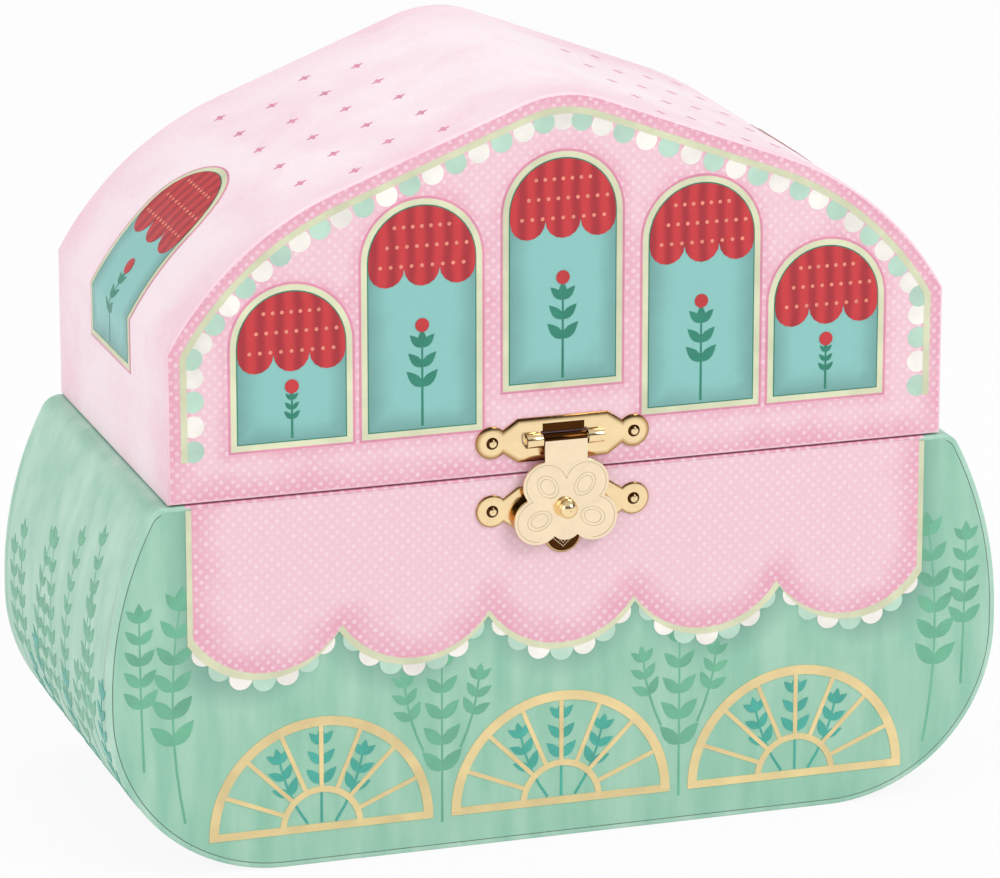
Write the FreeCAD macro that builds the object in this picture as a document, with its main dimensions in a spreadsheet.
"""Carriage-shaped musical jewellery box with a turning dancer, as a parametric FreeCAD document.

Millimetres. The box stands on z = 0, its front faces -Y, its width runs along X and the
origin is the middle of its underside. Every driving size is a named cell of the sheet; what
fits in or seats on another piece takes its size and place from the same cells.
"""
import FreeCAD, Part
import math
import os
import re
import Sketcher
from FreeCAD import Placement, Rotation, Vector

SIZES = (
    ("case_depth", 88.0, "front face to back face"),
    ("panel", 3.0, "front and back boards"),
    ("seam_height", 79.8, "parting line and lid hinge above the table"),
    ("seam_gap", 0.4, "open seam between base and lid"),
    ("base_width", 194.0, "across the belly"),
    ("base_wall", 4.0, "bent sides of the base"),
    ("floor_board", 3.0, "floor of the base"),
    ("corner_radius", 37.0, "bottom corners of the base outline"),
    ("belly_flat", 2.5, "upright run above the bottom corners"),
    ("side_radius", 82.0, "sides of the base outline"),
    ("rim_radius", 4.5, "rounded rim of the base"),
    ("lid_width", 167.0, "outside of the lid"),
    ("lid_height", 79.0, "lid edge to ridge"),
    ("lid_side", 31.5, "upright sides of the lid"),
    ("roof_slope", 21.0, "degrees, beside the ridge"),
    ("ridge_radius", 24.0, "rounding of the ridge"),
    ("shoulder_radius", 69.0, "curve of the roof towards the sides"),
    ("roof_board", 2.5, "bent roof of the lid"),
    ("board", 2.5, "inner boards"),
    ("board_clear", 0.4, "free edge of a board to a bent wall"),
    ("bay_width", 80.0, "between the dividers"),
    ("bay_depth", 34.5, "movement bay, front to back"),
    ("stage_height", 64.0, "underside of the stage above the table"),
    ("side_tray", 22.0, "underside of the side tray floors above the table"),
    ("front_tray", 44.0, "underside of the front tray floor above the table"),
    ("mirror_drop", 17.0, "ridge to the top of the mirror board"),
    ("mirror_board", 1.5, "thickness"),
    ("mirror_glass", 2.0, "thickness"),
    ("mirror_inset", 5.0, "edge of the board to edge of the glass"),
    ("mirror_corner", 6.0, "corner radius of the glass"),
    ("hinge_offset", 50.0, "middle of each hinge from the middle of the box"),
    ("hinge_length", 22.0, "along the pin"),
    ("hinge_leaf", 11.0, "seam to leaf edge"),
    ("leaf_gauge", 0.8, "sheet of the hinge leaves"),
    ("leaf_margin", 3.2, "leaf edge to its nails"),
    ("leaf_end", 4.0, "leaf end to its nails"),
    ("knuckle_radius", 1.9, "outside of a hinge knuckle"),
    ("hinge_pin", 1.0, "radius"),
    ("knuckle_gap", 0.3, "between knuckles, and leaf edge to knuckle"),
    ("run_clear", 0.06, "radial clearance of a turning fit"),
    ("nail_shank", 0.6, "radius"),
    ("nail_length", 2.6, "in the board"),
    ("nail_head", 1.3, "radius"),
    ("nail_dome", 0.7, "height of the head"),
    ("clasp_height", 7.2, "clasp pin above the seam"),
    ("clasp_gauge", 0.8, "sheet of the two plates"),
    ("clasp_ear", 3.4, "radius of an ear"),
    ("clasp_span", 15.3, "middle of the clasp to a nail"),
    ("clasp_body", 9.7, "half width of a plate's body"),
    ("clasp_rise", 4.6, "half height of a plate's body"),
    ("clasp_pin", 0.7, "radius"),
    ("clasp_knuckle", 1.5, "radius of the pressed straps"),
    ("strap_width", 3.4, "of one pressed strap"),
    ("curl_radius", 1.35, "outside of the rolled end of the flap"),
    ("curl_clear", 0.4, "rolled end to the window in the plate"),
    ("flap_width", 9.2, "neck of the flap"),
    ("flap_gauge", 0.7, "sheet of the flap"),
    ("flap_clear", 0.3, "neck of the flap to the straps"),
    ("flower_drop", 14.5, "clasp pin to the middle of the flower"),
    ("petal_radius", 5.0, "four large petals"),
    ("petal_reach", 6.6, "middle of the flower to the middle of a petal"),
    ("lobe_radius", 3.6, "small lower petal"),
    ("tab_radius", 4.0, "half-round tab of the keeper"),
    ("tab_drop", 6.2, "middle of the keeper to the middle of the tab"),
    ("boss_radius", 6.2, "raised middle of the keeper"),
    ("boss_clear", 0.3, "boss to the back of the flap"),
    ("knob_radius", 2.1, "ball on the flap"),
    ("knob_sink", 1.2, "ball below the face of the flap"),
    ("rivet_radius", 0.9, "shank of the ball"),
    ("key_height", 32.0, "winding axis above the table"),
    ("bedplate", 3.0, "thickness"),
    ("plate_margin", 1.0, "outer cheeks and comb to the edge of the bedplate"),
    ("screw_inset", 5.0, "outer cheek to the frame screws"),
    ("screw_margin", 4.0, "bedplate edge to the frame screws"),
    ("hole_clear", 0.5, "arbor to a hole that it only passes through"),
    ("frame_foot", 10.0, "lower edge of the bedplate above the table"),
    ("frame_top", 52.0, "upper edge of the bedplate above the table"),
    ("cheek", 1.5, "thickness of a bearing cheek"),
    ("cheek_inner", 12.0, "middle to the inner cheeks"),
    ("cheek_outer", 28.0, "middle to the outer cheeks"),
    ("cheek_rise", 6.0, "half height of a cheek"),
    ("cheek_lip", 3.5, "bearing to the free edge of a cheek"),
    ("housing_radius", 10.5, "spring housing"),
    ("housing_depth", 12.0, "spring housing"),
    ("housing_gap", 0.35, "housing to crown wheel"),
    ("tooth_module", 0.6, "all wheels"),
    ("crown_teeth", 32, "count"),
    ("pinion_teeth", 10, "count"),
    ("worm_teeth", 18, "count"),
    ("tooth_face", 2.0, "tooth length across the mesh"),
    ("tooth_width", 0.6, "tooth thickness on the pitch line"),
    ("tooth_above", 0.5, "pitch line to tip"),
    ("tooth_below", 0.75, "pitch line to root"),
    ("tooth_sink", 0.2, "tooth below its disc, and disc past its teeth"),
    ("flank_angle", 20.0, "degrees"),
    ("crown_disc", 2.2, "thickness"),
    ("arbor_radius", 2.0, "winding arbor"),
    ("thin_arbor", 1.0, "radius of the cylinder and governor arbors"),
    ("cylinder_radius", 6.0, "pinned cylinder"),
    ("end_float", 0.6, "cylinder to cheek"),
    ("pin_radius", 0.25, "music pin"),
    ("pin_rise", 0.5, "music pin"),
    ("pin_count", 54, "music pins"),
    ("comb_notes", 18, "count"),
    ("comb_gap", 0.9, "comb tips to the cylinder"),
    ("comb_gauge", 1.0, "thickness"),
    ("comb_slot", 0.25, "between two comb teeth"),
    ("comb_reach", 8.0, "length of the teeth"),
    ("comb_screw", 1.0, "radius of the shank"),
    ("comb_thread", 4.0, "comb screws in their block"),
    ("frame_screw", 1.3, "radius of the shank"),
    ("screw_head", 1.2, "height of a screw head"),
    ("worm_radius", 1.8, "pitch radius"),
    ("worm_root", 1.1, "radius of the core"),
    ("worm_turns", 5, "count"),
    ("journal", 0.8, "radius of the worm's ends"),
    ("worm_offset", 20.0, "middle to the worm"),
    ("arm_gauge", 1.5, "bracket arms"),
    ("worm_arm", 9.0, "winding axis to the arms beside the worm"),
    ("bracket_width", 6.0, "worm and spindle brackets"),
    ("spindle_foot", 4.0, "winding axis to the lower bearing of the dancer"),
    ("bracket_lip", 5.0, "spindle bracket on the bedplate"),
    ("fan_radius", 5.5, "tip of a blade"),
    ("fan_height", 3.4, "blade"),
    ("fan_blade", 0.5, "thickness"),
    ("fan_hub", 1.6, "radius"),
    ("fan_float", 0.6, "fan to its bracket, and cap above the worm"),
    ("spindle_radius", 1.2, "dancer spindle"),
    ("bush_wall", 1.2, "stage bush"),
    ("bush_flange", 0.8, "stage bush"),
    ("plate_radius", 7.0, "plate below the dancer's spring"),
    ("plate_gauge", 1.4, "plate below the dancer's spring"),
    ("plate_float", 0.4, "plate to the stage bush"),
    ("peg_radius", 1.9, "pegs inside the spring"),
    ("peg_rise", 2.0, "pegs inside the spring"),
    ("coil_radius", 3.0, "middle of the spring wire"),
    ("wire_radius", 0.4, "spring wire"),
    ("coil_turns", 4, "count"),
    ("coil_pitch", 1.5, "rise of one turn"),
    ("wire_bend", 1.0, "bend at the ends of the spring"),
    ("foot_radius", 4.0, "disc below the dancer's feet"),
    ("foot_gauge", 1.2, "disc below the dancer's feet"),
    ("ankle", 0.8, "radius"),
    ("thigh", 2.0, "radius"),
    ("stance", 1.5, "middle to a leg"),
    ("hip", 3.5, "radius"),
    ("waist", 2.3, "radius"),
    ("chest", 3.0, "radius"),
    ("neck", 1.0, "radius"),
    ("wrist", 0.8, "radius of an arm"),
    ("head_clear", 3.0, "finger tips to the mirror"),
    ("skirt_radius", 14.0, "without the scallops"),
    ("skirt_gauge", 0.9, "thickness"),
    ("skirt_drop", 3.0, "waist to hem"),
    ("skirt_scallop", 1.7, "radius of a scallop"),
    ("skirt_count", 24, "scallops"),
    ("rod_radius", 0.9, "push rod"),
    ("rod_back", 5.0, "back board to the push rod"),
    ("rod_bend", 2.5, "bend of the push rod"),
    ("rod_clear", 0.3, "push rod to the block in the lid"),
    ("rod_guide", 0.1, "radial clearance of the push rod in the stage"),
    ("brake_radius", 1.6, "felt pad"),
    ("brake_gap", 0.3, "felt pad to the fan"),
    ("brake_felt", 0.6, "thickness of the felt pad"),
    ("block_width", 12.0, "block in the lid"),
    ("block_height", 6.0, "block in the lid"),
    ("key_hub", 3.2, "radius"),
    ("key_gap", 2.0, "back board to the key"),
    ("key_hub_length", 9.0, "along the arbor"),
    ("key_web", 2.0, "end of the arbor to the end of the hub"),
    ("key_wing", 5.6, "radius of a wing"),
    ("key_spread", 7.2, "arbor to the middle of a wing"),
    ("key_eye", 2.6, "radius of the hole in a wing"),
    ("key_gauge", 2.2, "thickness of the wings"),
)

DOC = FreeCAD.newDocument("JewelleryBox")
SHEET = DOC.addObject("Spreadsheet::Sheet", "Sizes")
PARTS = []

BACK_IN = "(case_depth/2 - panel)"
BASE_TOP = "(seam_height - seam_gap/2)"
LID_LOW = "(seam_height + seam_gap/2)"
BAY_FRONT = f"({BACK_IN} - bay_depth)"
STAGE_TOP = "(stage_height + board)"
HINGE_Y = "(case_depth/2 + knuckle_radius)"
CLASP_Y = "(case_depth/2 + clasp_knuckle)"
FLAP_FRONT = f"({CLASP_Y} + curl_radius)"
FLAP_BACK = f"({FLAP_FRONT} - flap_gauge)"
CLASP_Z = "(seam_height + clasp_height)"
FLOWER_Z = f"({CLASP_Z} - flower_drop)"
BED_FACE = f"({BACK_IN} - bedplate)"
CROWN_R = "(crown_teeth*tooth_module/2)"
PINION_R = "(pinion_teeth*tooth_module/2)"
CROWN_BACK = f"({BED_FACE} - housing_depth - housing_gap)"
CROWN_ROOT = f"({CROWN_BACK} - crown_disc)"
TRAIN_Y = f"({CROWN_ROOT} - tooth_below - {PINION_R})"
WORM_Y = f"({TRAIN_Y} - worm_teeth*tooth_module/2 - worm_radius)"
ARM_TOP = "(key_height + worm_arm + arm_gauge)"
FAN_LOW = f"({ARM_TOP} + fan_float)"
FAN_TOP = f"({FAN_LOW} + fan_height + fan_float)"
ROD_Z = f"({FAN_TOP} + brake_gap + brake_felt + rod_radius)"
ROD_Y = f"({BACK_IN} - rod_back)"
PLATE_TOP = f"({STAGE_TOP} + bush_flange + plate_float + plate_gauge)"
COIL_RISE = "(coil_turns*coil_pitch + 2*(wire_bend + 2*wire_radius))"
FOOT_LOW = f"({PLATE_TOP} + {COIL_RISE})"
FOOT_TOP = f"({FOOT_LOW} + foot_gauge)"
MIRROR_LOW = f"({LID_LOW} + lid_height - mirror_drop - mirror_board - mirror_glass)"
FIGURE = f"({MIRROR_LOW} - head_clear - {FOOT_TOP})"
MIRROR_HALF = ("((ridge_radius - roof_board + (mirror_drop - ridge_radius)*cos(roof_slope))"
               "/sin(roof_slope) - board_clear)")
COMB_TIP = "(key_height - cylinder_radius - comb_gap)"
COMB_LOW = "(frame_foot + plate_margin)"
COMB_X = "(cheek_inner + cheek + end_float)"
COMB_W = f"(cheek_outer - end_float - {COMB_X})"

ALONG_X = Rotation(Vector(0, 1, 0), 90)
ALONG_Y = Rotation(Vector(1, 0, 0), -90)
FACING_FRONT = Rotation(Vector(1, 0, 0), 90)
CROSSWISE = Rotation(Vector(1, 1, 1), 120)


def fill_sheet():
    """Write every driving size to its own cell and name the cell."""
    for row, (alias, value, note) in enumerate(SIZES, 1):
        SHEET.set(f"A{row}", alias)
        SHEET.set(f"B{row}", str(value))
        SHEET.set(f"C{row}", note)
        SHEET.setAlias(f"B{row}", alias)
    DOC.recompute()


def bound(text):
    """Turn a formula of cell names into an expression that refers to the sheet."""
    return re.sub(r"(?!pi\b)\b[a-z_]+\b(?!\()", lambda name: "Sizes." + name.group(), text)


def num(text):
    """Value of a formula of cell names."""
    value = SHEET.evalExpression(bound(text))
    return float(getattr(value, "Value", value))


def place(item, corner, turn=Rotation()):
    """Turn an object and bind its position to the sheet."""
    item.Placement = Placement(Vector(), turn)
    for letter, text in zip("xyz", corner):
        item.setExpression(f"Placement.Base.{letter}", bound(text))
    return item


def primitive(kind, label, sizes, corner, turn=Rotation()):
    """Part primitive with its sizes bound to the sheet."""
    item = DOC.addObject(f"Part::{kind}", label)
    for prop, text in sizes.items():
        item.setExpression(prop, bound(text))
    return place(item, corner, turn)


def box(label, length, width, height, corner):
    """Rectangular block from its lowest corner."""
    return primitive("Box", label, {"Length": length, "Width": width, "Height": height}, corner)


def rod(label, radius, length, start, turn=Rotation()):
    """Round bar from the middle of its first end."""
    return primitive("Cylinder", label, {"Radius": radius, "Height": length}, start, turn)


def fuse(label, pieces):
    """One solid from several."""
    item = DOC.addObject("Part::MultiFuse", label)
    item.Shapes = pieces
    item.Refine = True
    return item


def cut(label, blank, tools):
    """Take tools away from a blank."""
    item = DOC.addObject("Part::Cut", label)
    item.Base = blank
    item.Tool = tools[0] if len(tools) == 1 else fuse(label + "_tools", tools)
    item.Refine = True
    return item


def keep(item, label=None):
    """Count an object as a finished sub-part."""
    if label:
        item.Label = label
    PARTS.append(item)
    return item


def feature(label, shape):
    """Sub-part whose shape is made directly."""
    item = DOC.addObject("Part::Feature", label)
    item.Shape = shape
    return item


def new_body(label, corner=("0", "0", "0"), turn=Rotation()):
    """Empty body, turned and placed."""
    return place(DOC.addObject("PartDesign::Body", label), corner, turn)


def origin_of(body, role):
    """Plane or axis of a body's own origin."""
    return next(item for item in body.Origin.OriginFeatures if item.Role == role)


def sketch(body, plane, geometry, offset="0"):
    """Sketch on an origin plane of the body, moved along the plane's normal."""
    item = body.newObject("Sketcher::SketchObject", body.Name + "_sketch")
    item.AttachmentSupport = [(origin_of(body, plane), "")]
    item.MapMode = "FlatFace"
    item.setExpression("AttachmentOffset.Base.z", bound(offset))
    item.addGeometry(geometry, False)
    return item


def pad(body, profile, length, midplane=False):
    """Pad a sketch by a bound length."""
    item = body.newObject("PartDesign::Pad", body.Name + "_pad")
    item.Profile = profile
    item.setExpression("Length", bound(length))
    item.Midplane = midplane
    body.Tip = item
    return item


def pocket(body, profile):
    """Cut a sketch through the whole body, to both sides of its plane."""
    item = body.newObject("PartDesign::Pocket", body.Name + "_pocket")
    item.Profile = profile
    item.Type = 1
    item.Midplane = True
    body.Tip = item
    return item


def revolve(body, profile, axis="Z_Axis"):
    """Turn a sketch once round an axis of the body."""
    item = body.newObject("PartDesign::Revolution", body.Name + "_turned")
    item.Profile = profile
    item.ReferenceAxis = (origin_of(body, axis), [""])
    item.Angle = 360
    body.Tip = item
    return item


def around(body, original, count):
    """Repeat a feature round the body's Z axis."""
    item = body.newObject("PartDesign::PolarPattern", body.Name + "_ring")
    item.Originals = [original]
    item.Axis = (origin_of(body, "Z_Axis"), [""])
    item.Angle = 360
    item.setExpression("Occurrences", bound(count))
    body.Tip = item
    return item


def polygon(points):
    """Closed run of straight lines."""
    corners = [Vector(x, y, 0) for x, y in points]
    return [Part.LineSegment(a, b) for a, b in zip(corners, corners[1:] + corners[:1])]


def line(first, last):
    """Straight line between two points of a sketch."""
    return Part.LineSegment(Vector(first[0], first[1], 0), Vector(last[0], last[1], 0))


def arc(centre, radius, start, end):
    """Arc of a circle in a sketch, counter-clockwise, angles in degrees."""
    circle = Part.Circle(Vector(centre[0], centre[1], 0), Vector(0, 0, 1), radius)
    return Part.ArcOfCircle(circle, math.radians(start), math.radians(end))


def ring(centre, radius):
    """Full circle in a sketch."""
    return Part.Circle(Vector(centre[0], centre[1], 0), Vector(0, 0, 1), radius)


def angle_of(centre, point):
    """Direction from a centre to a point, in degrees."""
    return math.degrees(math.atan2(point[1] - centre[1], point[0] - centre[0]))


def flip(side, *items):
    """Mirror arcs, lines and points in the upright middle line for the left side."""
    if side > 0:
        return list(items)
    turned = []
    for item in items:
        if isinstance(item, Part.ArcOfCircle):
            centre = item.Center
            start = 180 - math.degrees(item.LastParameter)
            end = 180 - math.degrees(item.FirstParameter)
            turned.append(arc((-centre.x, centre.y), item.Radius, start, end))
        else:
            a, b = item.StartPoint, item.EndPoint
            turned.append(line((-a.x, a.y), (-b.x, b.y)))
    return turned


def base_side(inset):
    """Right side of the base outline, from the flat underside to the rim."""
    half = num("base_width/2")
    corner = num("corner_radius")
    belly = num("corner_radius + belly_flat")
    radius = num("side_radius")
    top = num(BASE_TOP)
    low = (half - corner, corner)
    middle = (half - radius, belly)
    run = [arc(low, corner - inset, 270, 360), line((half - inset, corner), (half - inset, belly))]
    if inset:
        end = math.sqrt((radius - inset) ** 2 - (top - belly) ** 2) + middle[0]
        run.append(arc(middle, radius - inset, 0, angle_of(middle, (end, top))))
        return run, (end, top)
    rim = num("rim_radius")
    rise = top - rim - belly
    eye = (middle[0] + math.sqrt((radius - rim) ** 2 - rise ** 2), top - rim)
    lean = angle_of(middle, eye)
    run.append(arc(middle, radius, 0, lean))
    run.append(arc(eye, rim, lean, 90))
    return run, (eye[0], top)


def lid_side(inset):
    """Right side of the lid outline, from its lower edge to the ridge."""
    half = num("lid_width/2")
    low = num(LID_LOW)
    apex = low + num("lid_height")
    ridge = num("ridge_radius")
    shoulder = num("shoulder_radius")
    slope = math.radians(num("roof_slope"))
    normal = Vector(math.sin(slope), math.cos(slope), 0)
    along = Vector(math.cos(slope), -math.sin(slope), 0)
    eye = Vector(0, apex - ridge, 0)
    knee = Vector(half, low + num("lid_side"), 0)
    start = eye + normal * ridge
    gap = start - normal * shoulder - knee
    lead = gap.dot(along)
    reach = -lead - math.sqrt(lead ** 2 - gap.dot(gap) + shoulder ** 2)
    middle = start + along * reach - normal * shoulder
    edge = half - inset
    turn = math.sqrt((shoulder - inset) ** 2 - (edge - middle.x) ** 2) + middle.y
    first = middle + normal * (shoulder - inset)
    last = eye + normal * (ridge - inset)
    lean = 90 - num("roof_slope")
    hip = (middle.x, middle.y)
    return [
        line((edge, low), (edge, turn)),
        arc(hip, shoulder - inset, angle_of(hip, (edge, turn)), lean),
        line((first.x, first.y), (last.x, last.y)),
        arc((0, apex - ridge), ridge - inset, lean, 90),
    ]


def base_panel(label, corner, turn, holes):
    """Front or back board of the base with its bores."""
    body = new_body(label, corner, turn)
    run, rim = base_side(0)
    foot = num("base_width/2 - corner_radius")
    outline = run + flip(-1, *run)
    outline.append(line((-rim[0], rim[1]), rim))
    outline.append(line((-foot, 0), (foot, 0)))
    pad(body, sketch(body, "XZ_Plane", outline), "panel")
    pocket(body, sketch(body, "XZ_Plane", [ring(spot, radius) for spot, radius in holes]))
    return keep(body)


def lid_panel(label, corner, turn, holes):
    """Front or back board of the lid with its bores."""
    body = new_body(label, corner, turn)
    half = num("lid_width/2")
    low = num(LID_LOW)
    run = lid_side(0)
    outline = run + flip(-1, *run) + [line((-half, low), (half, low))]
    pad(body, sketch(body, "XZ_Plane", outline), "panel")
    pocket(body, sketch(body, "XZ_Plane", [ring(spot, radius) for spot, radius in holes]))
    return keep(body)


def hinge_spots(level):
    """Nail places of both hinges, above the seam or below it."""
    reach = num("hinge_length/2 - leaf_end")
    middle = num("hinge_offset")
    return [(side * middle + step * reach, level) for side in (-1, 1) for step in (-1, 1)]


def screw_spots():
    """Places of the four screws that hold the movement to the back board."""
    across = num("cheek_outer - screw_inset")
    low = num("frame_foot + screw_margin")
    high = num("frame_top - screw_margin")
    return [(side * across, level) for side in (-1, 1) for level in (low, high)]


def case_boards():
    """Outer boards of base and lid and everything glued to them."""
    shank = num("nail_shank")
    ears = num("clasp_span")
    low = num("seam_height - hinge_leaf + leaf_margin")
    high = num("seam_height + hinge_leaf - leaf_margin")
    front = ("0", f"-{BACK_IN}", "0")
    back = ("0", BACK_IN, "0")
    about = Rotation(Vector(0, 0, 1), 180)
    base_panel("base_front_panel", front, Rotation(),
               [((side * ears, num(FLOWER_Z)), shank) for side in (-1, 1)])
    holes = [(spot, shank) for spot in hinge_spots(low)]
    holes += [(spot, num("frame_screw")) for spot in screw_spots()]
    holes.append(((0, num("key_height")), num("arbor_radius + hole_clear")))
    base_panel("base_back_panel", back, about, holes)
    lid_panel("lid_front_panel", front, Rotation(),
              [((side * ears, num(CLASP_Z)), shank) for side in (-1, 1)])
    lid_panel("lid_back_panel", back, about, [(spot, shank) for spot in hinge_spots(high)])

    foot = "(base_width/2 - corner_radius)"
    keep(box("base_floor", f"2*{foot}", f"2*{BACK_IN}", "floor_board", (f"-{foot}", f"-{BACK_IN}", "0")))
    wall = num("base_wall")
    outer, rim = base_side(0)
    inner, edge = base_side(wall)
    ends = [line((num(foot), 0), (num(foot), wall)), line(edge, rim)]
    for side, name in ((-1, "left"), (1, "right")):
        body = new_body(f"base_side_{name}")
        pad(body, sketch(body, "XZ_Plane", flip(side, *outer, *inner, *ends)), f"2*{BACK_IN}", True)
        keep(body)

    board = num("roof_board")
    half = num("lid_width/2")
    level = num(LID_LOW)
    outer = lid_side(0)
    inner = lid_side(board)
    edge = [line((half - board, level), (half, level))]
    right = outer + inner + edge
    body = new_body("lid_roof")
    pad(body, sketch(body, "XZ_Plane", right + flip(-1, *right)), f"2*{BACK_IN}", True)
    keep(body)


def inner_boards():
    """Dividers, tray floors, stage, and the mirror under the roof."""
    bay = "bay_width/2"
    depth = f"2*{BACK_IN}"
    lift = "(stage_height - floor_board)"
    reach = (f"(base_width/2 - corner_radius + sqrt((corner_radius - base_wall)^2"
             f" - (corner_radius - side_tray)^2) - board_clear - {bay} - board)")
    for side, name in ((-1, "left"), (1, "right")):
        wall = bay if side > 0 else f"-{bay} - board"
        keep(box(f"divider_{name}", "board", depth, lift, (wall, f"-{BACK_IN}", "floor_board")))
        tray = f"{bay} + board" if side > 0 else f"-{bay} - board - {reach}"
        keep(box(f"tray_floor_{name}", reach, depth, "board", (tray, f"-{BACK_IN}", "side_tray")))
    keep(box("bay_front_wall", "bay_width", "board", lift, (f"-{bay}", f"{BAY_FRONT} - board", "floor_board")))
    keep(box("tray_floor_front", "bay_width", f"{BAY_FRONT} - board + {BACK_IN}", "board",
             (f"-{bay}", f"-{BACK_IN}", "front_tray")))
    blank = box("stage_blank", "bay_width + 2*board", "bay_depth + board", "board",
                (f"-{bay} - board", f"{BAY_FRONT} - board", "stage_height"))
    bores = [rod("stage_bore", "spindle_radius + run_clear + bush_wall", "board", ("0", TRAIN_Y, "stage_height")),
             rod("rod_bore", "rod_radius + rod_guide", "board", ("-worm_offset", ROD_Y, "stage_height"))]
    keep(cut("stage", blank, bores))
    keep(box("mirror_board", f"2*{MIRROR_HALF}", depth, "mirror_board",
             (f"-{MIRROR_HALF}", f"-{BACK_IN}", f"{MIRROR_LOW} + mirror_glass")))
    across = num(f"{MIRROR_HALF} - mirror_inset")
    deep = num(f"{BACK_IN} - mirror_inset")
    corner = num("mirror_corner")
    glass = new_body("mirror", ("0", "0", MIRROR_LOW))
    x, y = across - corner, deep - corner
    pane = [line((-x, -deep), (x, -deep)), line((across, -y), (across, y)),
            line((x, deep), (-x, deep)), line((-across, y), (-across, -y)),
            arc((x, -y), corner, 270, 360), arc((x, y), corner, 0, 90),
            arc((-x, y), corner, 90, 180), arc((-x, -y), corner, 180, 270)]
    pad(glass, sketch(glass, "XY_Plane", pane), "mirror_glass")
    keep(glass)


def headed(shank, length, head, dome):
    """Nail or screw along +Z: shank below z = 0, rounded head above it."""
    ball = (head ** 2 + dome ** 2) / (2 * dome)
    cap = Part.makeSphere(ball, Vector(0, 0, dome - ball)).common(Part.makeCylinder(2 * head, 2 * dome))
    stem = Part.makeCylinder(shank, length, Vector(0, 0, -length))
    return cap.fuse(stem).removeSplitter()


def group(label, piece, spots, turn):
    """Separate copies of one fastener in one sub-part."""
    solids = []
    for spot in spots:
        copy = piece.copy()
        copy.Placement = Placement(Vector(*spot), turn)
        solids.append(copy)
    return keep(feature(label, Part.makeCompound(solids)))


def hinges():
    """Two butt hinges on the outside of the back boards."""
    half = "hinge_length/2"
    inner = "(hinge_length/6)"
    face = "case_depth/2"
    clear = "(knuckle_radius + knuckle_gap)"
    for side, name in ((-1, "left"), (1, "right")):
        middle = f"{side}*hinge_offset"
        keep(rod(f"hinge_pin_{name}", "hinge_pin", "hinge_length",
                 (f"{middle} - {half}", HINGE_Y, "seam_height"), ALONG_X))
        for leaf, up in (("base", -1), ("lid", 1)):
            label = f"hinge_{leaf}_leaf_{name}"
            low = f"seam_height + {clear}" if up > 0 else "seam_height - hinge_leaf"
            pieces = [box(label + "_sheet", "hinge_length", "leaf_gauge", f"hinge_leaf - {clear}",
                          (f"{middle} - {half}", face, low))]
            if up > 0:
                spans = [(f"{middle} - {inner} + knuckle_gap/2", f"2*{inner} - knuckle_gap")]
            else:
                spans = [(f"{middle} - {half}", f"{half} - {inner} - knuckle_gap/2"),
                         (f"{middle} + {inner} + knuckle_gap/2", f"{half} - {inner} - knuckle_gap/2")]
            for start, length in spans:
                tongue = "seam_height" if up > 0 else f"seam_height - {clear}"
                pieces.append(box(label + "_tongue", length, "leaf_gauge", clear, (start, face, tongue)))
                pieces.append(rod(label + "_knuckle", "knuckle_radius", length,
                                  (start, HINGE_Y, "seam_height"), ALONG_X))
            bores = [rod(label + "_bore", "hinge_pin + run_clear" if up > 0 else "hinge_pin", "hinge_length",
                         (f"{middle} - {half}", HINGE_Y, "seam_height"), ALONG_X)]
            level = "seam_height + hinge_leaf - leaf_margin" if up > 0 else "seam_height - hinge_leaf + leaf_margin"
            for step in (-1, 1):
                bores.append(rod(label + "_nail_hole", "nail_shank", "leaf_gauge",
                                 (f"{middle} + {step}*({half} - leaf_end)", face, level), ALONG_Y))
            keep(cut(label, fuse(label + "_blank", pieces), bores))
    nail = headed(num("nail_shank"), num("nail_length + leaf_gauge"), num("nail_head"), num("nail_dome"))
    outer = num(f"{face} + leaf_gauge")
    low = num("seam_height - hinge_leaf + leaf_margin")
    high = num("seam_height + hinge_leaf - leaf_margin")
    group("hinge_base_nails", nail, [(x, outer, z) for x, z in hinge_spots(low)], ALONG_Y)
    group("hinge_lid_nails", nail, [(x, outer, z) for x, z in hinge_spots(high)], ALONG_Y)


def ear_outline(extra=()):
    """Outline of a clasp plate with a round ear at each end; extra runs replace its lower edge."""
    span = num("clasp_span")
    ear = num("clasp_ear")
    half = num("clasp_body")
    rise = num("clasp_rise")
    neck = ear * math.sqrt(0.5)
    right = [line((half, rise), (span - neck, neck)), arc((span, 0), ear, -135, 135),
             line((half, -rise), (span - neck, -neck))]
    left = [line((-half, rise), (neck - span, neck)), arc((-span, 0), ear, 45, 315),
            line((-half, -rise), (neck - span, -neck))]
    lower = list(extra) or [line((-half, -rise), (half, -rise))]
    return right + left + lower + [line((-half, rise), (half, rise))]


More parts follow.
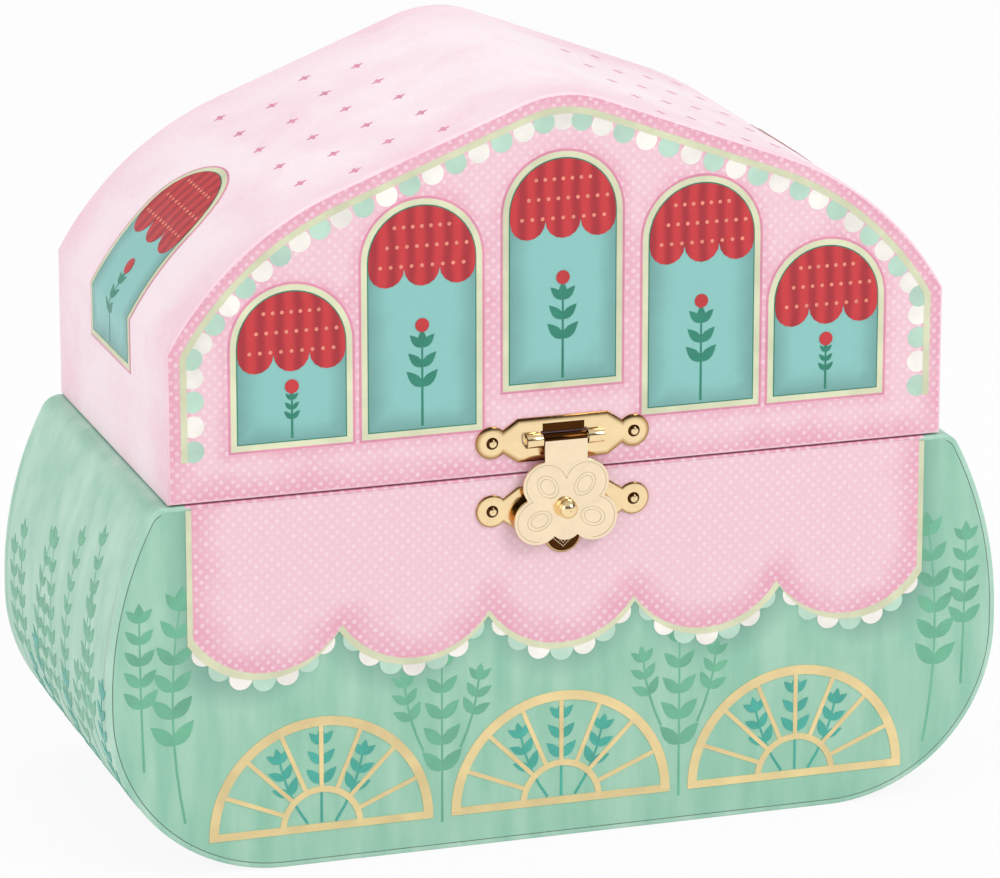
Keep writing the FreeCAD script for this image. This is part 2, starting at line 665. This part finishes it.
def clasp():
    """Upper plate with its pin, flower-shaped flap with its ball, and the keeper plate."""
    ears = num("clasp_span")
    shank = num("nail_shank")
    holes = [ring((side * ears, 0), shank) for side in (-1, 1)]
    face = "case_depth/2"

    plate = new_body("clasp_plate_sheet", ("0", f"-{face}", CLASP_Z))
    pad(plate, sketch(plate, "XZ_Plane", ear_outline()), "clasp_gauge")
    window = num("flap_width/2 + flap_clear")
    tall = num("curl_radius + curl_clear")
    opening = polygon([(-window, -tall), (window, -tall), (window, tall), (-window, tall)])
    pocket(plate, sketch(plate, "XZ_Plane", holes + opening))
    straps = []
    for start in ("flap_width/2 + flap_clear", "-flap_width/2 - flap_clear - strap_width"):
        straps.append(rod("clasp_strap", "clasp_knuckle", "strap_width",
                          (start, f"-{CLASP_Y}", CLASP_Z), ALONG_X))
    reach = "(flap_width/2 + flap_clear + strap_width)"
    bore = rod("clasp_pin_bore", "clasp_pin", f"2*{reach}", (f"-{reach}", f"-{CLASP_Y}", CLASP_Z), ALONG_X)
    keep(cut("clasp_plate", fuse("clasp_plate_blank", [plate] + straps), [bore]))
    keep(rod("clasp_pin", "clasp_pin", f"2*{reach}", (f"-{reach}", f"-{CLASP_Y}", CLASP_Z), ALONG_X))

    half = num("clasp_body")
    rise = num("clasp_rise")
    tab = num("tab_radius")
    drop = num("tab_drop")
    lower = [line((-half, -rise), (-tab, -rise)), line((-tab, -rise), (-tab, -drop)),
             arc((0, -drop), tab, 180, 360), line((tab, -drop), (tab, -rise)), line((tab, -rise), (half, -rise))]
    keeper = new_body("keeper_plate", ("0", f"-{face}", FLOWER_Z))
    pad(keeper, sketch(keeper, "XZ_Plane", ear_outline(lower)), "clasp_gauge")
    pocket(keeper, sketch(keeper, "XZ_Plane", holes))
    boss = sketch(keeper, "XZ_Plane", [ring((0, 0), num("boss_radius"))])
    pad(keeper, boss, f"{FLAP_BACK} - boss_clear - {face}")
    keep(keeper)

    nail = headed(shank, num("nail_length + clasp_gauge"), num("nail_head"), num("nail_dome"))
    outer = -num(f"{face} + clasp_gauge")
    pair = (-ears, ears)
    group("clasp_nails", nail, [(x, outer, num(CLASP_Z)) for x in pair], FACING_FRONT)
    group("keeper_nails", nail, [(x, outer, num(FLOWER_Z)) for x in pair], FACING_FRONT)

    pieces = [box("flap_neck", "flap_width", "flap_gauge", "flower_drop",
                  ("-flap_width/2", f"-{FLAP_FRONT}", FLOWER_Z)),
              rod("flap_curl", "curl_radius", "flap_width", ("-flap_width/2", f"-{CLASP_Y}", CLASP_Z), ALONG_X),
              rod("flap_middle", "petal_radius", "flap_gauge", ("0", f"-{FLAP_BACK}", FLOWER_Z), FACING_FRONT),
              rod("flap_lobe", "lobe_radius", "flap_gauge",
                  ("0", f"-{FLAP_BACK}", f"{FLOWER_Z} - petal_reach/2"), FACING_FRONT)]
    for turn in (50, 130, 202, 338):
        spot = (f"petal_reach*cos({turn})", f"-{FLAP_BACK}", f"{FLOWER_Z} + petal_reach*sin({turn})")
        pieces.append(rod("flap_petal", "petal_radius", "flap_gauge", spot, FACING_FRONT))
    bores = [rod("flap_bore", "clasp_pin + run_clear", "flap_width",
                 ("-flap_width/2", f"-{CLASP_Y}", CLASP_Z), ALONG_X),
             rod("flap_hole", "rivet_radius", "flap_gauge", ("0", f"-{FLAP_BACK}", FLOWER_Z), FACING_FRONT)]
    keep(cut("clasp_flap", fuse("clasp_flap_blank", pieces), bores))

    ball = num("knob_radius")
    sink = num("knob_sink")
    rivet = num("rivet_radius")
    gauge = num("flap_gauge")
    flat = math.sqrt(ball ** 2 - (ball - sink) ** 2)
    eye = (0, ball - sink)
    knob = new_body("clasp_ball", ("0", f"-{FLAP_FRONT}", FLOWER_Z), FACING_FRONT)
    side = [arc(eye, ball, angle_of(eye, (flat, 0)), 90), line((0, 2 * ball - sink), (0, -gauge)),
            line((0, -gauge), (rivet, -gauge)), line((rivet, -gauge), (rivet, 0)), line((rivet, 0), (flat, 0))]
    revolve(knob, sketch(knob, "XZ_Plane", side))
    keep(knob)


def gear(label, teeth, face, bore, corner, turn):
    """Spur wheel with straight-flanked teeth, one of them along the wheel's own X axis."""
    radius = num(f"{teeth}*tooth_module/2")
    root = radius - num("tooth_below")
    tip = radius + num("tooth_above")
    lean = math.tan(math.radians(num("flank_angle")))
    low = num("tooth_width/2") + num("tooth_below") * lean
    high = num("tooth_width/2") - num("tooth_above") * lean
    body = new_body(label, corner, turn)
    pad(body, sketch(body, "XY_Plane", [ring((0, 0), root), ring((0, 0), num(bore))]), face, True)
    seat = root - low
    flank = [(seat, -low), (root, -low), (tip, -high), (tip, high), (root, low), (seat, low)]
    tooth = pad(body, sketch(body, "XY_Plane", polygon(flank)), face, True)
    around(body, tooth, teeth)
    return keep(body)


def crown_wheel():
    """Contrate wheel on the winding arbor; its teeth face the front and drive three pinions."""
    pitch = num(CROWN_R)
    disc = num("crown_disc")
    lean = math.tan(math.radians(num("flank_angle")))
    low = num("tooth_width/2") + num("tooth_below") * lean
    high = num("tooth_width/2") - num("tooth_above") * lean
    tall = num("tooth_below + tooth_above")
    half_pitch = Rotation(Vector(0, 0, 1), 180 / num("crown_teeth"))
    body = new_body("crown_wheel", ("0", CROWN_BACK, "key_height"), FACING_FRONT.multiply(half_pitch))
    rim = pitch + num("tooth_face/2 + tooth_sink")
    pad(body, sketch(body, "XY_Plane", [ring((0, 0), rim), ring((0, 0), num("arbor_radius"))]), "crown_disc")
    seat = disc - num("tooth_sink")
    flank = [(-low, seat), (low, seat), (low, disc), (high, disc + tall), (-high, disc + tall), (-low, disc)]
    tooth = pad(body, sketch(body, "YZ_Plane", polygon(flank), f"{CROWN_R} - tooth_face/2"), "tooth_face")
    around(body, tooth, "crown_teeth")
    keep(body)


def movement_frame():
    """Bedplate with four bearing cheeks and the comb block, and what is screwed to it."""
    wide = "(cheek_outer + cheek + plate_margin)"
    pieces = [box("frame_plate", f"2*{wide}", "bedplate", "frame_top - frame_foot", (f"-{wide}", BED_FACE, "frame_foot"))]
    for start, lip in (("-cheek_outer - cheek", f"({WORM_Y} - bracket_width/2)"),
                       ("-cheek_inner - cheek", f"({TRAIN_Y} - cheek_lip)"),
                       ("cheek_inner", f"({TRAIN_Y} - cheek_lip)"),
                       ("cheek_outer", f"({TRAIN_Y} - cheek_lip)")):
        pieces.append(box("frame_cheek", "cheek", f"{BED_FACE} - {lip}", "2*cheek_rise",
                          (start, lip, "key_height - cheek_rise")))
    seat = f"({COMB_TIP} - comb_reach - {COMB_LOW})"
    pieces.append(box("frame_block", COMB_W, f"{BED_FACE} - {TRAIN_Y} - comb_gauge/2", seat,
                      (COMB_X, f"{TRAIN_Y} + comb_gauge/2", COMB_LOW)))
    bores = [rod("frame_bore", "arbor_radius + run_clear", "bedplate", ("0", BED_FACE, "key_height"), ALONG_Y),
             rod("train_bore", "thin_arbor + run_clear", f"2*{wide}", (f"-{wide}", TRAIN_Y, "key_height"), ALONG_X)]
    for x, z in screw_spots():
        bores.append(rod("frame_screw_bore", "frame_screw", "bedplate", (str(x), BED_FACE, str(z)), ALONG_Y))
    spots = [f"{COMB_X} + {COMB_W}*{step}" for step in (0.25, 0.75)]
    level = f"{COMB_LOW} + {seat}/2"
    for spot in spots:
        bores.append(rod("comb_screw_bore", "comb_screw", "comb_thread + plate_margin",
                         (spot, f"{TRAIN_Y} + comb_gauge/2", level), ALONG_Y))
    keep(cut("movement_frame", fuse("movement_frame_blank", pieces), bores))
    driver = headed(num("frame_screw"), num("panel + bedplate"), num("2*frame_screw"), num("screw_head"))
    group("movement_screws", driver, [(x, num("case_depth/2"), z) for x, z in screw_spots()], ALONG_Y)

    notes = int(num("comb_notes"))
    pitch = num(COMB_W) / notes
    slot = num("comb_slot")
    tip = num(COMB_TIP) - num(COMB_LOW)
    root = tip - num("comb_reach")
    outline = [(0, 0), (num(COMB_W), 0), (num(COMB_W), root)]
    for note in reversed(range(notes)):
        right = (note + 1) * pitch - slot / 2
        left = note * pitch + slot / 2
        outline += [(right, root), (right, tip), (left, tip), (left, root)]
    outline.append((0, root))
    comb = new_body("comb", (COMB_X, f"{TRAIN_Y} + comb_gauge/2", COMB_LOW))
    pad(comb, sketch(comb, "XZ_Plane", polygon(outline)), "comb_gauge")
    rings = [ring((num(COMB_W) * step, root / 2), num("comb_screw")) for step in (0.25, 0.75)]
    pocket(comb, sketch(comb, "XZ_Plane", rings))
    keep(comb)
    driver = headed(num("comb_screw"), num("comb_gauge + comb_thread"), num("1.6*comb_screw"), num("screw_head"))
    front = num(f"{TRAIN_Y} - comb_gauge/2")
    group("comb_screws", driver, [(num(spot), front, num(level)) for spot in spots], FACING_FRONT)


def winding():
    """Spring housing, arbor, crown wheel and butterfly key."""
    shell = rod("housing_blank", "housing_radius", "housing_depth",
                ("0", f"{BED_FACE} - housing_depth", "key_height"), ALONG_Y)
    bore = rod("housing_bore", "arbor_radius + run_clear", "housing_depth",
               ("0", f"{BED_FACE} - housing_depth", "key_height"), ALONG_Y)
    keep(cut("spring_housing", shell, [bore]))
    start = f"({CROWN_ROOT} - tooth_below)"
    tail = "(case_depth/2 + key_gap + key_hub_length - key_web)"
    keep(rod("winding_arbor", "arbor_radius", f"{tail} - {start}", ("0", start, "key_height"), ALONG_Y))
    crown_wheel()
    hub = "(case_depth/2 + key_gap)"
    eye = f"({hub} + key_hub_length)"
    pieces = [rod("key_hub", "key_hub", "key_hub_length", ("0", hub, "key_height"), ALONG_Y),
              box("key_bar", "2*key_spread", "2*key_hub", "key_gauge",
                  ("-key_spread", f"{eye} - key_hub", "key_height - key_gauge/2"))]
    bores = [rod("key_bore", "arbor_radius", f"{tail} - {hub}", ("0", hub, "key_height"), ALONG_Y)]
    for side in (-1, 1):
        spot = (f"{side}*key_spread", eye, "key_height - key_gauge/2")
        pieces.append(rod("key_wing", "key_wing", "key_gauge", spot))
        bores.append(rod("key_eye", "key_eye", "key_gauge", spot))
    keep(cut("winding_key", fuse("winding_key_blank", pieces), bores))


def cylinder():
    """Pinned cylinder on its arbor, driven by a pinion at the side of the crown wheel."""
    long = num(COMB_W)
    radius = num("cylinder_radius")
    drum = Part.makeCylinder(radius, long)
    pins = []
    notes = int(num("comb_notes"))
    count = int(num("pin_count"))
    for index in range(count):
        note = (7 * index + index // 5) % notes
        spot = Rotation(Vector(0, 0, 1), 360 * index / count).multVec(Vector(radius - 0.3, 0, 0))
        pin = Part.makeCylinder(num("pin_radius"), num("pin_rise") + 0.3,
                                spot + Vector(0, 0, (note + 0.5) * long / notes), spot)
        pins.append(pin)
    bore = Part.makeCylinder(num("thin_arbor"), long)
    item = feature("music_cylinder", drum.fuse(pins).cut(bore))
    keep(place(item, (COMB_X, TRAIN_Y, "key_height"), ALONG_X))
    start = f"({CROWN_R} - tooth_face/2)"
    keep(rod("cylinder_arbor", "thin_arbor", f"cheek_outer + cheek - {start}", (start, TRAIN_Y, "key_height"), ALONG_X))
    gear("cylinder_pinion", "pinion_teeth", "tooth_face", "thin_arbor", (CROWN_R, TRAIN_Y, "key_height"), CROSSWISE)


def governor():
    """Pinion, worm wheel, worm and air fan that hold the speed."""
    start = f"({CROWN_R} - tooth_face/2)"
    length = f"cheek_outer + cheek - {start}"
    keep(rod("governor_arbor", "thin_arbor", length, ("-cheek_outer - cheek", TRAIN_Y, "key_height"), ALONG_X))
    gear("governor_pinion", "pinion_teeth", "tooth_face", "thin_arbor", (f"-{CROWN_R}", TRAIN_Y, "key_height"), CROSSWISE)
    gear("worm_wheel", "worm_teeth", "tooth_face - 0.4", "thin_arbor",
         ("-worm_offset", TRAIN_Y, "key_height"), CROSSWISE)

    arm = num("worm_arm")
    core = num("worm_root")
    end = num("journal")
    stop = num("arm_gauge")
    top = num(f"{FAN_TOP} - fan_float - key_height")
    quarter = Rotation(Vector(0, 0, 1), 90)
    body = new_body("fan_worm", ("-worm_offset", WORM_Y, "key_height"), quarter)
    side = [(0, -arm - stop), (end, -arm - stop), (end, 0.4 - arm), (core, 0.4 - arm),
            (core, arm - 0.4), (end, arm - 0.4), (end, top), (0, top)]
    revolve(body, sketch(body, "XZ_Plane", polygon(side)))
    step = math.pi * num("tooth_module")
    low = -step * num("worm_turns") / 2
    lean = math.tan(math.radians(num("flank_angle")))
    pitch = num("worm_radius")
    tip = pitch + num("tooth_above")
    seat = core - 0.3
    wide = num("tooth_width/2") + (pitch - seat) * lean
    thin = num("tooth_width/2") - num("tooth_above") * lean
    thread = [(seat, low - wide), (tip, low - thin), (tip, low + thin), (seat, low + wide)]
    coil = body.newObject("PartDesign::AdditiveHelix", "worm_thread")
    coil.Profile = sketch(body, "XZ_Plane", polygon(thread))
    coil.ReferenceAxis = (origin_of(body, "Z_Axis"), [""])
    coil.Mode = 0
    coil.setExpression("Pitch", bound("tooth_module*pi"))
    coil.setExpression("Height", bound("tooth_module*pi*worm_turns"))
    body.Tip = coil
    keep(body)

    wide = "bracket_width"
    deep = f"({WORM_Y} - {wide}/2)"
    reach = "(cheek_outer - worm_offset + bracket_width/2)"
    low = "key_height - worm_arm - arm_gauge"
    pieces = [box("worm_web", "arm_gauge", wide, "2*(worm_arm + arm_gauge)", ("-cheek_outer", deep, low))]
    for level in (low, "key_height + worm_arm"):
        pieces.append(box("worm_arm_bar", reach, wide, "arm_gauge", ("-cheek_outer", deep, level)))
    bore = rod("worm_bore", "journal + run_clear", "2*(worm_arm + arm_gauge)", ("-worm_offset", WORM_Y, low))
    hole = rod("worm_web_bore", "thin_arbor + hole_clear", "arm_gauge", ("-cheek_outer", TRAIN_Y, "key_height"), ALONG_X)
    keep(cut("worm_bracket", fuse("worm_bracket_blank", pieces), [bore, hole]))

    hub = rod("fan_hub", "fan_hub", f"{FAN_TOP} - {FAN_LOW}", ("-worm_offset", WORM_Y, FAN_LOW))
    blade = box("fan_blade", "2*fan_radius", "fan_blade", "fan_height",
                ("-worm_offset - fan_radius", f"{WORM_Y} - fan_blade/2", f"{FAN_LOW} + fan_float/2"))
    bore = rod("fan_bore", "journal", f"{FAN_TOP} - fan_float - {FAN_LOW}", ("-worm_offset", WORM_Y, FAN_LOW))
    keep(cut("air_fan", fuse("air_fan_blank", [hub, blade]), [bore]))


def biarc(first, ahead, last, onward):
    """Two arcs from one point and direction to another, meeting smoothly."""
    gap = last - first
    both = ahead + onward
    share = gap.dot(both)
    square = 2 * (1 - ahead.dot(onward))
    reach = (-share + math.sqrt(share ** 2 + square * gap.dot(gap))) / square
    joint = (first + last + (ahead - onward) * reach) * 0.5
    runs = []
    for start, heading, end in ((first, ahead, joint), (last, onward * -1, joint)):
        chord = end - start
        lean = chord - heading * (chord.dot(heading))
        radius = chord.dot(chord) / (2 * lean.Length)
        middle = start + lean.normalize() * radius
        half = ((start - middle) + (end - middle)).normalize() * radius + middle
        runs.append((start, half, end))
    back = runs[1]
    return [Part.Arc(*runs[0]).toShape(), Part.Arc(back[2], back[1], back[0]).toShape()]


def coil_spring():
    """Compression spring under the dancer: one tube, its ends turned square into the two discs."""
    radius = num("coil_radius")
    pitch = num("coil_pitch")
    turns = int(num("coil_turns"))
    bend = num("wire_bend")
    wire = num("wire_radius")
    low = bend + 2 * wire
    slope = pitch / (2 * math.pi)
    run = math.hypot(radius, slope)

    def spot(turn):
        angle = 2 * math.pi * turn
        return Vector(radius * math.cos(angle), radius * math.sin(angle), low + pitch * turn)

    def heading(turn):
        angle = 2 * math.pi * turn
        return Vector(-radius * math.sin(angle), radius * math.cos(angle), slope) * (1 / run)

    up = Vector(0, 0, 1)
    first = spot(0) - Vector(0, bend, bend)
    last = spot(turns) + Vector(0, bend, bend)
    edges = [Part.makeLine(first - up * 2 * wire, first)]
    edges += biarc(first, up, spot(0), heading(0))
    for step in range(4 * turns):
        edges += biarc(spot(step / 4), heading(step / 4), spot((step + 1) / 4), heading((step + 1) / 4))
    edges += biarc(spot(turns), heading(turns), last, up)
    edges.append(Part.makeLine(last, last + up * 2 * wire))
    path = Part.Wire(edges)
    end = Part.Wire(Part.makeCircle(wire, edges[0].Vertexes[0].Point, up))
    shell = Part.BRepOffsetAPI.MakePipeShell(path)
    shell.add(end)
    shell.build()
    shell.makeSolid()
    points = path.discretize(Distance=0.15)
    away = int(math.pi * radius / 0.15)
    least = min(a.distanceToPoint(b) for i, a in enumerate(points) for b in points[i + away:])
    print("spring: least gap to itself", round(least - 2 * wire, 2), "mm")
    item = feature("dancer_spring", Part.Solid(shell.shape()))
    keep(place(item, ("0", TRAIN_Y, PLATE_TOP)))


def dancer():
    """Spindle and bearings, pinion, spring, moulded figure and skirt."""
    low = "(key_height + spindle_foot)"
    high = f"(key_height + {CROWN_R} + tooth_face)"
    rise = num("arm_gauge")
    web = num(f"{TRAIN_Y} - bracket_width")
    back = num(BED_FACE)
    foot = num(low)
    top = num(high)
    shelf = num(f"{TRAIN_Y} + bracket_width/3")
    lip = top + num("bracket_lip")
    side = [(web, foot), (shelf, foot), (shelf, foot + rise), (web + rise, foot + rise),
            (web + rise, top), (back, top), (back, lip), (back - rise, lip),
            (back - rise, top + rise), (web, top + rise)]
    body = new_body("spindle_bracket")
    pad(body, sketch(body, "YZ_Plane", polygon(side)), "bracket_width", True)
    bore = num("spindle_radius + run_clear")
    pocket(body, sketch(body, "XY_Plane", [ring((0, num(TRAIN_Y)), bore)]))
    keep(body)

    wall = num("spindle_radius + run_clear + bush_wall")
    board = num("board")
    lip = board + num("bush_flange")
    bush = new_body("stage_bush", ("0", TRAIN_Y, "stage_height"))
    side = [(bore, 0), (wall, 0), (wall, board), (wall + 1.8, board), (wall + 1.8, lip), (bore, lip)]
    revolve(bush, sketch(bush, "XZ_Plane", polygon(side)))
    keep(bush)

    thin = num("spindle_radius")
    plate = num("plate_radius")
    peg = num("peg_radius")
    under = num(f"{PLATE_TOP} - plate_gauge - {low}")
    over = under + num("plate_gauge")
    spindle = new_body("dancer_spindle", ("0", TRAIN_Y, low))
    side = [(0, 0), (thin, 0), (thin, under), (plate, under), (plate, over), (peg, over),
            (peg, over + num("peg_rise")), (0, over + num("peg_rise"))]
    revolve(spindle, sketch(spindle, "XZ_Plane", polygon(side)))
    keep(spindle)
    quarter = Rotation(Vector(0, 0, 1), 90)
    gear("dancer_pinion", "pinion_teeth", "tooth_face", "spindle_radius",
         ("0", TRAIN_Y, f"key_height + {CROWN_R}"), quarter)
    coil_spring()

    def level(share):
        return f"({FOOT_TOP} + {share}*{FIGURE})"

    tall = num(FIGURE)
    torso = new_body("dancer_torso", ("0", TRAIN_Y, FOOT_TOP))
    hip = num("hip")
    waist = num("waist")
    chest = num("chest")
    neck = num("neck")
    spine = [Vector(x, share * tall, 0) for x, share in
             ((0.74 * hip, 0.36), (hip, 0.41), (0.94 * hip, 0.45), (waist, 0.51), (chest, 0.59), (0.9 * chest, 0.645),
              (1.1 * neck, 0.675), (neck, 0.72))]
    curve = Part.BSplineCurve()
    curve.interpolate(spine)
    ends = [line((0, spine[0].y), (spine[0].x, spine[0].y)), line((spine[-1].x, spine[-1].y), (0, spine[-1].y)),
            line((0, spine[-1].y), (0, spine[0].y))]
    revolve(torso, sketch(torso, "XZ_Plane", [curve] + ends))
    pieces = [torso,
              rod("dancer_foot", "foot_radius", "foot_gauge", ("0", TRAIN_Y, FOOT_LOW)),
              rod("dancer_peg", "peg_radius", "peg_rise", ("0", TRAIN_Y, f"{FOOT_LOW} - peg_rise")),
              primitive("Sphere", "dancer_head", {"Radius": f"0.06*{FIGURE}"}, ("0", TRAIN_Y, level(0.765))),
              primitive("Sphere", "dancer_bun", {"Radius": f"0.028*{FIGURE}"},
                        ("0", f"{TRAIN_Y} + 0.03*{FIGURE}", level(0.82)))]
    for side in (-1, 1):
        pieces.append(primitive("Cone", "dancer_leg", {"Radius1": "ankle", "Radius2": "thigh", "Height": f"0.4*{FIGURE}"},
                                (f"{side}*stance", TRAIN_Y, FOOT_TOP)))
        about = Rotation(Vector(0, 0, 1), 0 if side > 0 else 180)
        swing = about.multiply(FACING_FRONT).multiply(Rotation(Vector(0, 0, 1), -60))
        pieces.append(primitive("Torus", "dancer_arm", {"Radius1": f"0.2*{FIGURE}", "Radius2": "wrist", "Angle3": "120"},
                                (f"{-side}*0.071*{FIGURE}", TRAIN_Y, level(0.81)), swing))
    keep(fuse("dancer_figure", pieces))

    gauge = num("skirt_gauge")
    hem = num("skirt_radius")
    top = 0.46 * tall
    skirt = new_body("dancer_skirt_blank", ("0", TRAIN_Y, FOOT_TOP))
    edge = top - num("skirt_drop")
    flare = [(waist, top), (hem, edge), (hem, edge + gauge), (waist, top + gauge)]
    revolve(skirt, sketch(skirt, "XZ_Plane", polygon(flare)))
    scallop = pad(skirt, sketch(skirt, "XY_Plane", [ring((hem, 0), num("skirt_scallop"))], str(edge)), "skirt_gauge")
    around(skirt, scallop, "skirt_count")
    keep(cut("dancer_skirt", skirt, [torso]))


def stop_gear():
    """Push rod that the lid holds down, with its felt brake above the fan, and the block in the lid."""
    radius = num("rod_radius")
    bend = num("rod_bend")
    back = num(ROD_Y)
    front = num(f"{WORM_Y} - brake_radius")
    top = num(f"{LID_LOW} - rod_clear")
    level = num(ROD_Z)
    x = -num("worm_offset")
    corner = Part.Arc(Vector(x, back, level + bend), Vector(x, back - bend * (1 - math.sqrt(0.5)),
                      level + bend * (1 - math.sqrt(0.5))), Vector(x, back - bend, level))
    path = Part.Wire([Part.makeLine(Vector(x, back, top), Vector(x, back, level + bend)), corner.toShape(),
                      Part.makeLine(Vector(x, back - bend, level), Vector(x, front, level))])
    end = Part.Wire(Part.makeCircle(radius, Vector(x, back, top), Vector(0, 0, 1)))
    bent = feature("push_rod_bar", path.makePipeShell([end], True, False))
    seat = box("push_rod_flat", "4*rod_radius", "2*brake_radius", "rod_radius",
               ("-worm_offset - 2*rod_radius", f"{WORM_Y} - brake_radius", f"{ROD_Z} - rod_radius"))
    keep(fuse("push_rod", [bent, seat]))
    keep(rod("brake_pad", "brake_radius", "brake_felt",
             ("-worm_offset", WORM_Y, f"{FAN_TOP} + brake_gap")))
    keep(box("lid_block", "block_width", "2*rod_back", "block_height",
             ("-worm_offset - block_width/2", f"{BACK_IN} - 2*rod_back", LID_LOW)))


def write_parts():
    """Check every object and sub-part, then write one file for each sub-part."""
    DOC.recompute()
    for item in DOC.Objects:
        if "Invalid" in item.State or "Error" in item.State:
            raise RuntimeError(f"{item.Label}: {item.State}")
    os.makedirs("parts", exist_ok=True)
    for item in PARTS:
        shape = item.Shape
        if shape.isNull() or not shape.isValid():
            raise RuntimeError(f"{item.Label}: shape is null or not valid")
        shape.exportStep(os.path.join("parts", item.Label + ".step"))
    print(len(PARTS), "sub-parts written")


fill_sheet()
case_boards()
inner_boards()
hinges()
clasp()
movement_frame()
winding()
cylinder()
governor()
dancer()
stop_gear()
write_parts()
